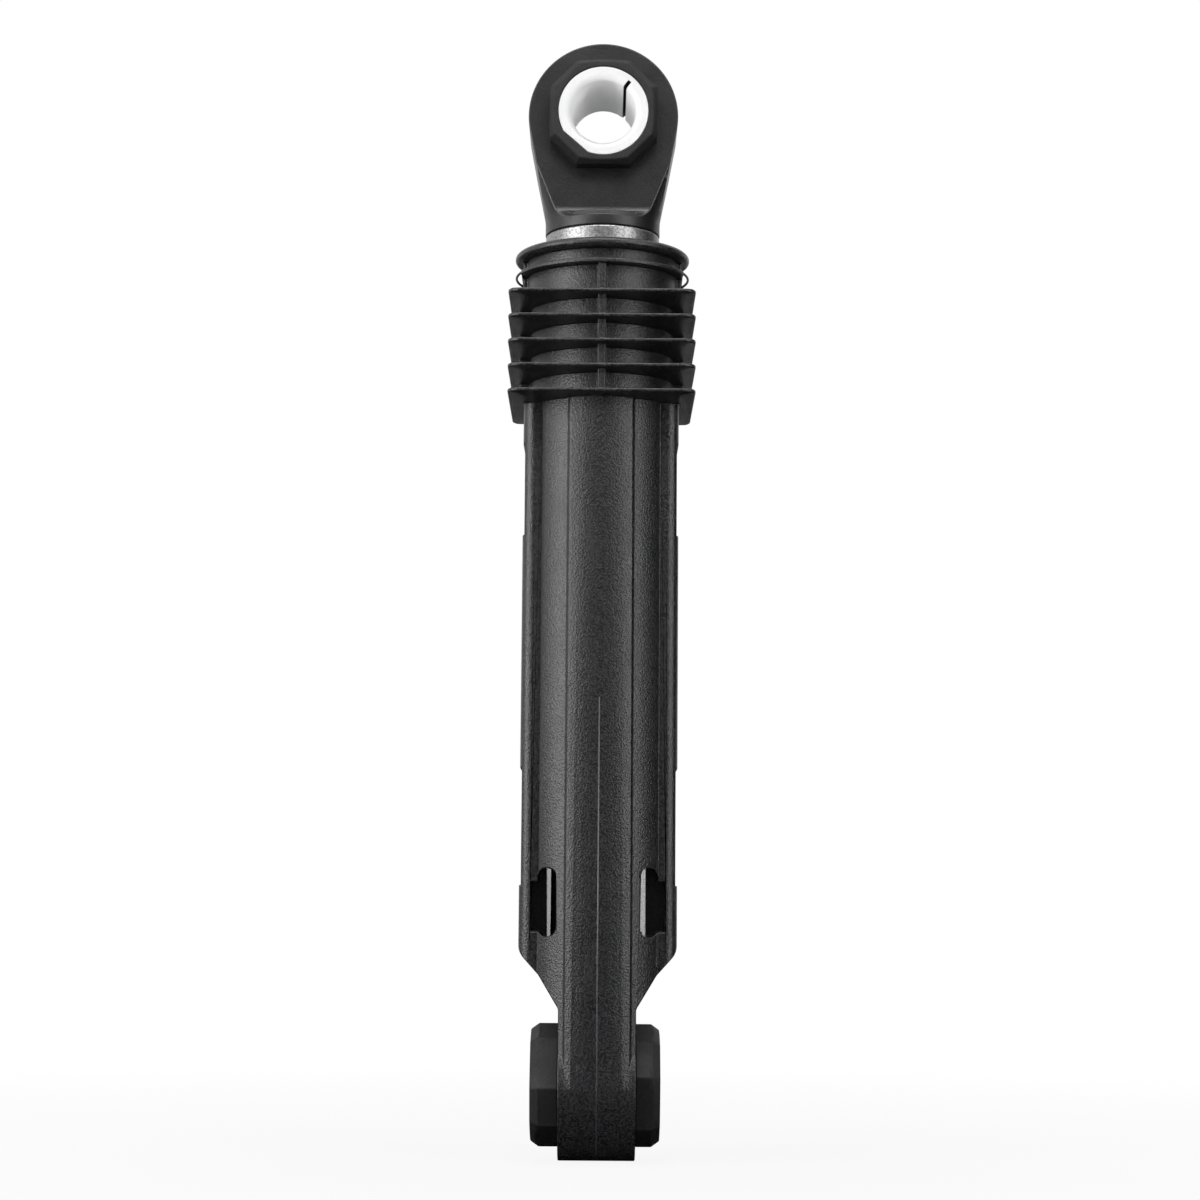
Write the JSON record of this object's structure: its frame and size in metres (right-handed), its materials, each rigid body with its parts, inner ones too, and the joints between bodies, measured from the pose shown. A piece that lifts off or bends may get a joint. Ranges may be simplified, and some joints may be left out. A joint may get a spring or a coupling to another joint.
{
  "type": "washing machine shock absorber",
  "caption": "Friction damper for a washing machine tub: a steel plunger slides in a finned plastic cylinder, with a rubber-bushed pin eye at each end",
  "frame": {"origin": "centre of the lower bush's bore", "axes": "+Z along the damper to the upper eye, +X along the lower pin, +Y along the upper pin away from the pictured side"},
  "size_m": [0.0344, 0.0344, 0.2075],
  "materials": {
    "housing_plastic": "moulded, fine spark-eroded texture",
    "guide_plastic": "moulded, smooth",
    "lining_foam": "greased open-cell strip",
    "plunger_steel": "zinc-coated, dull",
    "bush_rubber": "matte moulded",
    "sleeve_plastic": "moulded, satin"
  },
  "bodies": {
    "housing": {"cylinder_housing": "housing_plastic", "guide_ring": "guide_plastic", "lower_bush_rubber_left": "bush_rubber", "lower_bush_rubber_right": "bush_rubber", "lower_bush_sleeve": "sleeve_plastic"},
    "lining": {"friction_lining": "lining_foam"},
    "plunger": {"plunger_tube": "plunger_steel", "upper_eye": "housing_plastic", "upper_bush_rubber_front": "bush_rubber", "upper_bush_rubber_rear": "bush_rubber", "upper_bush_sleeve": "sleeve_plastic"}
  },
  "joints": [
    {"name": "plunger_swivel", "type": "hinge", "parent": "housing", "child": "lining", "pos_m": [0, 0, 0.1378], "axis": [0, 0, 1], "continuous": true},
    {"name": "plunger_slide", "type": "slide", "parent": "lining", "child": "plunger", "axis": [0, 0, 1], "range_m": [-0.003, 0.075]}
  ]
}
